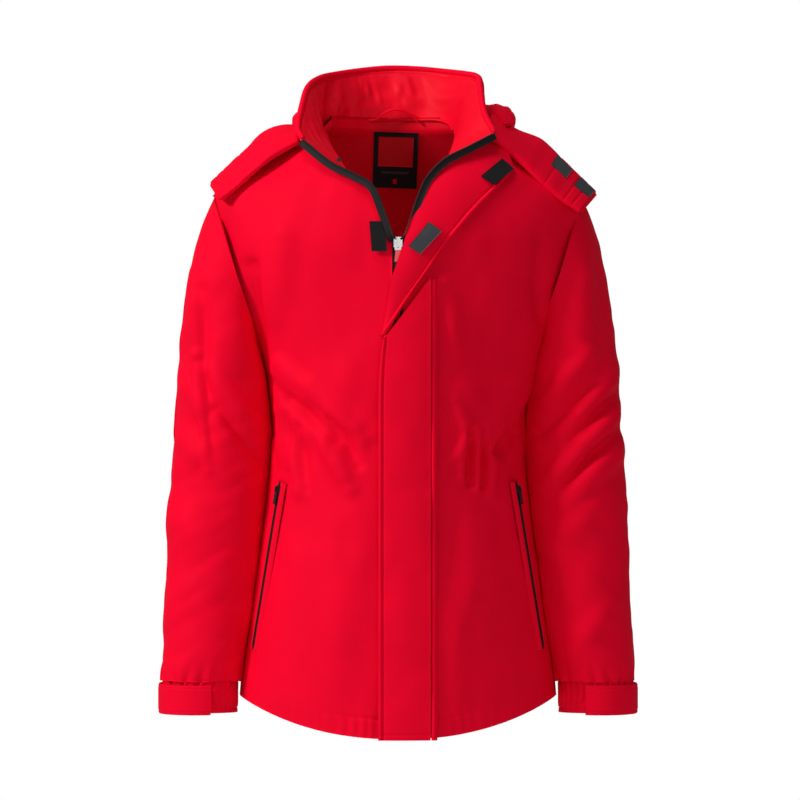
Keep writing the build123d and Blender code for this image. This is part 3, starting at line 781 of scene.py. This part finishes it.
class StormFlap:
    """Storm flap: the hanging part, its turned top, edges and patches."""

    FREE = np.array([(-20, -284), (-24, -330), (-25, -450), (-25, -600), (-25, -786)], float)
    FOLD = np.array(
        [
            (-20, -277), (0, -248), (18, -222), (36, -197), (56, -168), (79, -141), (102, -115),
            (126, -90), (148, -66),
        ],
        float,
    )
    NECK = np.array(
        [
            (-21, -280), (-15, -246), (-9, -208), (-1, -184), (7, -160), (15, -136), (29, -100),
            (43, -74), (62, -56), (95, -38), (124, -24),
        ],
        float,
    )

    def build(self) -> None:
        """Make the pieces of the flap."""
        rows = 360
        left = spline(self.FREE[::-1], rows)
        right = np.stack([np.full(rows, 41.0), np.linspace(-786, -204, rows)], axis=1)
        share = np.linspace(0, 1, 70)
        flat = left[None] * (1 - share[:, None, None]) + right[None] * share[:, None, None]
        x, z = flat[..., 0], flat[..., 1]
        edge = 66.0 * share[:, None]
        rim = 1.8 * np.exp(-((edge - 2.8) / 2.0) ** 2) - 1.2 * np.exp(-((edge - 6.4) / 1.0) ** 2)
        pad = 1.6 * np.sin(np.pi * np.clip(share, 0.05, 0.95))[:, None]
        out = 8.4 + rim + pad + 1.3 * noise(x + 300, z + 1000, 70.0, 41)
        out = out + 0.5 * noise(x + 300, z + 1000, 22.0, 42)
        out = out - 0.9 * np.exp(-(((z + 779) / 1.2) ** 2))
        panel = front_point(x, z, 0.0) + np.array([0, -1.0, 0]) * out[..., None]
        lower = cloth("storm_flap_cloth", panel, 3.0, Slot.SHELL, outward=self.facing(panel))
        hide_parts("storm_flap")
        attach(lower, "flap")
        self.seam()
        self.turned()

    @staticmethod
    def facing(grid: Array) -> float:
        """Sign that makes a front panel's normals point forwards."""
        return float(-np.sign(normals(grid, False)[..., 1].mean()))

    def seam(self) -> None:
        """Raised seam beside the flap."""
        z = np.linspace(-786, -206, 300)
        x = 42.0 + np.linspace(0, 7.5, 16)[:, None]
        bead = 4.5 + 4.0 * np.sin(np.pi * np.linspace(0.12, 0.98, 16)) ** 0.6
        out = np.maximum(bead, 0.8)[:, None] + 0.4 * noise(x + 0 * z, z + 1000, 20, 43)
        strip = front_point(x + 0 * z, z + 0 * x, 0.0) + np.array([0, -1.0, 0]) * out[..., None]
        piece = cloth("storm_flap_seam_cloth", strip, 3.0, Slot.SHELL, outward=self.facing(strip))
        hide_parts("storm_flap_seam")
        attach(piece, "jacket")

    def turned(self) -> None:
        """Top of the flap, turned back with its inner face forwards, and its patches."""
        grid = flap_grid(self.NECK, self.FOLD, 260, 80, 5.0)
        share = np.linspace(0, 1, 80)[:, None]
        rim = 2.6 * np.exp(-((share - 0.955) / 0.03) ** 2) - 1.5 * np.exp(-((share - 0.90) / 0.014) ** 2)
        waves = 2.0 * noise(grid[..., 0] + 300, grid[..., 2] + 900, 45.0, 51)
        lift = rim + waves + 5.0 * np.sin(np.pi * share) * np.linspace(0.2, 1, 260)[None, :]
        side = self.facing(grid)
        face = grid + normals(grid, False) * side * lift[..., None]
        piece = cloth("storm_flap_turned", face, 2.6, Slot.SHELL, outward=side)
        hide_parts("storm_flap_top", "storm_flap_facing")
        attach(piece, "jacket")
        quads = (
            # the hook patch's grey colour is painted sheen on black hook cloth
            ("hook_patch_flap", ((39, -134), (55, -146), (28, -175), (13, -165)), 13.0, Slot.HOOK),
            ("loop_patch_flap", ((132, -52), (147, -65), (121, -86), (105, -75)), 12.0, Slot.LOOP),
            ("loop_patch_front", ((-36, -133), (-17, -133), (-14, -171), (-33, -171)), 3.4, Slot.LOOP),
        )
        for name, corners, out, slot in quads:
            c = np.array(corners, float)
            s, t = np.linspace(0, 1, 16)[:, None, None], np.linspace(0, 1, 26)[None, :, None]
            flat = (c[0] * (1 - s) + c[1] * s) * (1 - t) + (c[3] * (1 - s) + c[2] * s) * t
            patch = front_point(flat[..., 0], flat[..., 1], out)
            made = cloth(f"{name}_face", patch, 1.4, slot, outward=self.facing(patch))
            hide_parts(name)
            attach(made, "jacket")


def boxes(
    name: str, centres: Array, frames: Array, size: tuple[float, float, float], slot: Slot
) -> bpy.types.Object:
    """Many equal small blocks in one mesh.

    Args:
        name: piece name.
        centres: block middles, (n, 3).
        frames: three unit directions per block, (n, 3, 3).
        size: full lengths along the three directions.
        slot: material slot.

    Returns:
        The object.
    """
    cube = np.array([(x, y, z) for x in (-1, 1) for y in (-1, 1) for z in (-1, 1)], float)
    cube = cube * np.array(size) / 2
    verts = centres[:, None] + np.einsum("kc,ncd->nkd", cube, frames)
    quad = np.array([(0, 1, 3, 2), (4, 6, 7, 5), (0, 4, 5, 1), (2, 3, 7, 6), (0, 2, 6, 4), (1, 5, 7, 3)])
    faces = (np.arange(len(centres))[:, None, None] * 8 + quad[None]).reshape(-1, 4)
    return make_object(name, verts.reshape(-1, 3), faces, slot)


class MainZip:
    """Main zip: tapes, moulded teeth, stops, slider and pull."""

    def build(self) -> None:
        """Make the zip's pieces."""
        for side in Side:
            self.row(side)
        for node in ("zip_pin", "zip_box", "zip_top_stops"):
            self.reuse(node, "jacket", Slot.PLASTIC)
        self.reuse("main_slider", "slider", Slot.METAL)
        self.reuse("main_pull_head", "pull", Slot.METAL)
        self.reuse("main_pull_grip", "pull", Slot.PULL)

    @staticmethod
    def reuse(node: str, body: str, slot: Slot) -> None:
        """Copy of a hard CAD piece in the slot's material, with the original hidden."""
        source = bpy.data.objects[node]
        mesh = source.data.copy()
        mesh.transform(source.matrix_world)
        made = bpy.data.objects.new(f"{node}_look", mesh)
        bpy.context.scene.collection.objects.link(made)
        mesh.materials.clear()
        mesh.materials.append(material(slot))
        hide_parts(node)
        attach(made, body)
        LOG.info("%s reused", node)

    @staticmethod
    def row(side: Side) -> None:
        """One tape with its teeth, from the bottom end up to the collar's corner."""
        rim = RIM[:6] if side is Side.RIGHT else RIM[20:][::-1]
        sign = side.value
        low = np.stack([np.full(30, sign * 2.2), np.full(30, -143.6), np.linspace(-783, -158, 30)], axis=1)
        path = spline(np.concatenate([low, rim + np.array([0, -3.0, -1.5])]), 900)
        along = np.gradient(path, axis=0)
        along /= np.linalg.norm(along, axis=1, keepdims=True)
        across = np.cross(along, np.array([0.0, -1.0, 0.0]))
        across /= np.linalg.norm(across, axis=1, keepdims=True)
        across *= np.sign(across[:, :1]) * sign
        width = np.linspace(0.6, 8.0, 8)[:, None, None]
        tape = path[None] + across[None] * width + np.array([0, 0.6, 0])
        piece = cloth(f"zip_tape_cloth_{side.word}", tape, 0.9, Slot.TAPE, outward=StormFlap.facing(tape))
        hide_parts(f"zip_tape_{side.word}")
        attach(piece, "jacket")
        run = np.concatenate([[0.0], np.cumsum(np.linalg.norm(np.diff(path, axis=0), axis=1))])
        at = np.arange(2.0 + (side is Side.LEFT) * 1.3, run[-1], 2.6)
        pick = np.stack([np.interp(at, run, path[:, k]) for k in range(3)], axis=1)
        tang = np.stack([np.interp(at, run, along[:, k]) for k in range(3)], axis=1)
        cross = np.stack([np.interp(at, run, across[:, k]) for k in range(3)], axis=1)
        frames = np.stack([cross, np.cross(tang, cross), tang], axis=1)
        tooth = (2.6, 2.6, 1.5)
        teeth = boxes(f"zip_teeth_row_{side.word}", pick - cross * 0.2, frames, tooth, Slot.PLASTIC)
        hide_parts(f"zip_teeth_{side.word}")
        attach(teeth, "jacket")


class PocketZips:
    """Pocket zips on both sides."""

    def build(self) -> None:
        """Reuse the hard pieces and lay the tapes in."""
        for side in Side:
            word = side.word
            MainZip.reuse(f"pocket_tape_{word}", "jacket", Slot.TAPE)
            MainZip.reuse(f"pocket_coil_{word}", "jacket", Slot.PLASTIC)
            MainZip.reuse(f"pocket_slider_{word}", f"pocket_slider_{word}_body", Slot.PLASTIC)
            MainZip.reuse(f"pocket_pull_{word}", f"pocket_pull_{word}_body", Slot.PLASTIC)
            for edge in (-1, 1):
                self.lip(side, edge)

    @staticmethod
    def lip(side: Side, edge: int) -> None:
        """Turned cloth edge that covers the outer part of one tape."""
        start, end = np.array([147.0, -76.5, -465.0]), np.array([181.0, -53.0, -671.0])
        along = (end - start) / np.linalg.norm(end - start)
        out = np.array([0.868, -0.497, 0.087])
        out = out - along * (out @ along)
        out /= np.linalg.norm(out)
        across = np.cross(out, along) * edge
        reach = np.linspace(-4.0, np.linalg.norm(end - start) + 4.0, 120)[:, None, None]
        share = np.linspace(0, 1, 14)[None, :, None]
        height = 3.9 * np.sin(np.pi * (0.30 + 0.62 * share)) ** 0.8 + 0.3
        grid = start + along * reach + across * (2.7 + 7.5 * share) + out * (height - 1.5 * share)
        grid = grid * np.array([float(side.value), 1.0, 1.0])
        sign = StormFlap.facing(grid)
        name = "rear" if edge * side.value > 0 else "front"
        strip = cloth(f"pocket_lip_{name}_{side.word}", grid, 0.8, Slot.SHELL, outward=sign)
        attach(strip, "jacket")


class Hood:
    """Hood folded down the back, with its two front tabs over the shoulders."""

    OUTLINE = np.array(
        [(-246, 8), (-240, 52), (-207, 108), (-152, 134), (-106, 124), (-68, 86), (-26, 44)], float
    )
    TAB_EDGES = {
        Side.LEFT: np.array(
            [
                [
                    (118, -8, 8), (150, -14, -14), (183, -18, -27),
                    (207, -20, -50), (233, -24, -75), (254, -28, -96),
                ],
                [
                    (112, -62, -22), (140, -70, -44), (160, -74, -62),
                    (182, -76, -84), (206, -76, -104), (232, -74, -121),
                ],
            ],
            float,
        ),
        Side.RIGHT: np.array(
            [
                [
                    (128, 4, -8), (150, 0, -9), (172, -4, -18),
                    (196, -8, -42), (220, -12, -64), (240, -16, -84),
                ],
                [
                    (124, -60, -30), (142, -68, -40), (162, -72, -52),
                    (184, -74, -70), (204, -74, -88), (226, -72, -105),
                ],
            ],
            float,
        ),
    }

    def build(self) -> None:
        """Make the pouch and the tabs."""
        self.pouch("hood_cloth", 24.0, 3.0, "hood_shell", Slot.SHELL, 0.0)
        self.pouch("hood_lining_cloth", 21.0, 6.0, "hood_lining", Slot.LINING, 4.0)
        self.roll()
        for side in Side:
            self.tab(side)

    @staticmethod
    def roll() -> None:
        """Bunched cloth of the hood round the back of the collar, gathered along its length."""
        path = spline(
            np.array(
                [
                    (-122, -8, -8), (-118, 22, -4), (-104, 56, -6), (-70, 88, -10), (0, 102, -14),
                    (72, 90, -8), (108, 58, 2), (124, 24, 4), (134, -8, 0), (140, -34, -12),
                ],
                float,
            ),
            260,
        )
        turn = np.linspace(0, 2 * np.pi, 65)[:-1]
        s = np.linspace(0, 1, 260)
        along = np.gradient(path, axis=0)
        side = np.cross(along, np.array([0.0, 0.0, 1.0]))
        side /= np.linalg.norm(side, axis=1, keepdims=True)
        size = 17.0 * np.clip(np.minimum(s, 1 - s) / 0.06, 0.15, 1) ** 0.5
        ripple = 2.2 * noise(s[None] * 420 + turn[:, None] * 6, turn[:, None] * 30 + 50, 13.0, 81)
        radius = size[None] + ripple
        offset = np.cos(turn)[:, None, None] * side[None]
        offset = offset + np.sin(turn)[:, None, None] * np.array([0, 0, 1.0])
        grid = path[None] + offset * radius[..., None]
        sign = float(np.sign((normals(grid, True) * offset).sum()))
        piece = cloth("hood_roll", grid, 3.0, Slot.SHELL, True, sign)
        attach(piece, "hood")

    @staticmethod
    def pouch(name: str, out: float, inner: float, node: str, slot: Slot, inset: float) -> None:
        """Bag that hugs the back: a wide oval band round a flat middle, open at the top."""
        rows, columns = 120, 200
        z = np.linspace(-244 + inset, -26, rows)
        outline = spline(Hood.OUTLINE, 300)
        reach = np.interp(z, outline[:, 0], outline[:, 1]) - inset
        turn = np.linspace(0, 2 * np.pi, columns + 1)[:-1]
        x = reach[None] * np.cos(turn)[:, None]
        share = 0.5 + 0.5 * np.sin(turn)[:, None]
        close = np.clip((z + 246) / 25.0, 0.15, 1) ** 0.5
        lift = inner + (out - inner) * share * close[None]
        half = np.interp(z, DENSE[:, 0], DENSE[:, 1]) + lift
        front = np.interp(z, DENSE[:, 0], DENSE[:, 2]) - lift
        back = np.interp(z, DENSE[:, 0], DENSE[:, 3]) + lift
        y = (front + back) / 2 + (back - front) / 2 * np.sqrt(np.clip(1 - (x / half) ** 2, 0, 1))
        y += 3.0 * noise(x + 500, z[None] + 800, 40.0, 61) * share
        drift = 2 * noise(x + 500, z[None] + 800, 30.0, 62)
        fan = np.exp(-(((z + 40) / 60.0) ** 2))[None] * np.sin(x / 5.0 + drift)
        y += 2.0 * fan * share - 1.6 * np.exp(-((x / 1.8) ** 2)) * share
        grid = np.stack([x, y, np.broadcast_to(z, x.shape)], axis=-1)
        mid = grid.mean(axis=0, keepdims=True)
        sign = float(np.sign((normals(grid, True) * (grid - mid)).sum()))
        piece = cloth(name, grid, 1.2, slot, True, sign)
        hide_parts(node)
        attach(piece, "hood")

    @staticmethod
    def tab(side: Side) -> None:
        """Front tab: a stitched padded strap lying over the shoulder, its face turned forwards."""
        upper, lower = Hood.TAB_EDGES[side]
        a, b = spline(upper, 140), spline(lower, 140)
        turn = np.linspace(0, 2 * np.pi, 97)[:-1]
        wide = np.sign(np.cos(turn)) * np.abs(np.cos(turn)) ** 0.5
        deep = np.sign(np.sin(turn)) * np.abs(np.sin(turn)) ** 0.7
        mid, half = (a + b) / 2, (a - b) / 2
        along = np.gradient(mid, axis=0)
        up = np.cross(along, half)
        up /= np.linalg.norm(up, axis=1, keepdims=True)
        up *= np.sign(up[:, 2:3])
        s = np.linspace(0, 1, 140)
        plump = 6.0 * np.clip(np.minimum(s, 1 - s) / 0.03, 0.25, 1) ** 0.5
        for place in (0.90, 0.82, 0.62):
            plump = plump - 1.2 * np.exp(-(((s - place) / 0.008) ** 2))
        plump = plump + 0.8 * noise(s * 200 + 10, s * 0 + 3.3, 18.0, 71)
        shrink = np.clip(np.minimum(s, 1 - s) / 0.02, 0.9, 1)
        grid = mid[None] + wide[:, None, None] * (half * shrink[:, None])[None]
        grid = grid + deep[:, None, None] * (up * plump[:, None])[None]
        grid = grid * np.array([float(side.value), 1.0, 1.0])
        centre = grid.mean(axis=0, keepdims=True)
        sign = float(np.sign((normals(grid, True) * (grid - centre)).sum()))
        piece = cloth(f"hood_tab_cloth_{side.word}", grid, plump[None] * 0.35, Slot.SHELL, True, sign)
        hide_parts(f"hood_tab_{side.word}")
        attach(piece, f"hood_tab_{side.word}_body")
        if side is Side.LEFT:
            patches = []
            for low, high in ((0.58, 0.74), (0.82, 0.97)):
                t = np.linspace(low, high, 14)[None, :, None]
                w = np.linspace(0.75, 0.05, 22)[:, None, None]
                p = np.stack([np.interp(t[0, :, 0], s, mid[:, k]) for k in range(3)], axis=1)
                h = np.stack([np.interp(t[0, :, 0], s, half[:, k]) for k in range(3)], axis=1)
                u = np.stack([np.interp(t[0, :, 0], s, up[:, k]) for k in range(3)], axis=1)
                patches.append(p[None] + w * h[None] + u[None] * 7.0)
            # these hook patches take the grey colour that is painted sheen on black hook cloth
            first, second = (
                cloth(f"hood_tab_hook_{word}", grid, 1.2, Slot.HOOK, outward=StormFlap.facing(grid))
                for word, grid in zip(("inner", "outer"), patches)
            )
            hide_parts("hook_patches_hood_tab")
            for patch in (first, second):
                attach(patch, f"hood_tab_{side.word}_body")


class Studio:
    """Camera, pale floor and soft lights."""

    def build(self) -> None:
        """Set up the view."""
        scene = bpy.context.scene
        data = bpy.data.cameras.new("camera")
        data.sensor_width = 36.0
        data.lens = data.sensor_width * CAMERA_AWAY / VIEW_WIDTH
        camera = bpy.data.objects.new("camera", data)
        camera.location = (0.0025, -0.11 - CAMERA_AWAY, -0.366)
        camera.rotation_euler = (np.pi / 2, 0.0, 0.0)
        scene.collection.objects.link(camera)
        scene.camera = camera
        world = bpy.data.worlds.new("studio")
        world.use_nodes = True
        nodes, links = world.node_tree.nodes, world.node_tree.links
        back = nodes["Background"]
        back.inputs[0].default_value = (1.0, 1.0, 1.0, 1.0)
        ray = nodes.new("ShaderNodeLightPath")
        level = nodes.new("ShaderNodeMapRange")
        level.inputs["To Min"].default_value = 0.24
        level.inputs["To Max"].default_value = 1.0
        links.new(ray.outputs["Is Camera Ray"], level.inputs["Value"])
        links.new(level.outputs["Result"], back.inputs[1])
        scene.world = world
        scene.view_settings.view_transform = "Standard"
        self.lamp("key", (-3.2, -1.7, 1.7), 120.0, 0.9)
        self.lamp("fill", (0.9, -3.6, -0.2), 20.0, 1.8)
        self.lamp("top", (-0.5, -0.9, 2.2), 20.0, 1.0)
        floor = bpy.data.meshes.new("floor")
        corners = [(-1.6, -1.6, -1.12), (1.6, -1.6, -1.12), (1.6, 1.4, -1.12), (-1.6, 1.4, -1.12)]
        floor.from_pydata(corners, [], [(0, 1, 2, 3)])
        plate = bpy.data.objects.new("floor", floor)
        scene.collection.objects.link(plate)
        pale = bpy.data.materials.new("pale_floor")
        pale.use_nodes = True
        pale.node_tree.nodes["Principled BSDF"].inputs["Base Color"].default_value = (0.9, 0.9, 0.9, 1.0)
        floor.materials.append(pale)

    @staticmethod
    def lamp(name: str, place: tuple[float, float, float], power: float, size: float) -> None:
        """Soft square light aimed at the jacket."""
        data = bpy.data.lights.new(name, "AREA")
        data.energy, data.size = power, size
        lamp = bpy.data.objects.new(name, data)
        lamp.location = place
        aim = np.array([0.0, 0.0, -0.35]) - np.array(place)
        flat = np.hypot(aim[0], aim[1])
        lamp.rotation_euler = (np.pi / 2 + np.arctan2(aim[2], flat), 0.0, np.arctan2(-aim[0], aim[1]))
        bpy.context.scene.collection.objects.link(lamp)


def main() -> None:
    """Build the whole jacket."""
    logging.basicConfig(level=logging.INFO)
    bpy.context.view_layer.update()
    Studio().build()
    Torso().build()
    Collar().build()
    for side in Side:
        Sleeve(side).build()
    StormFlap().build()
    MainZip().build()
    PocketZips().build()
    Hood().build()


if __name__ == "__main__":
    main()
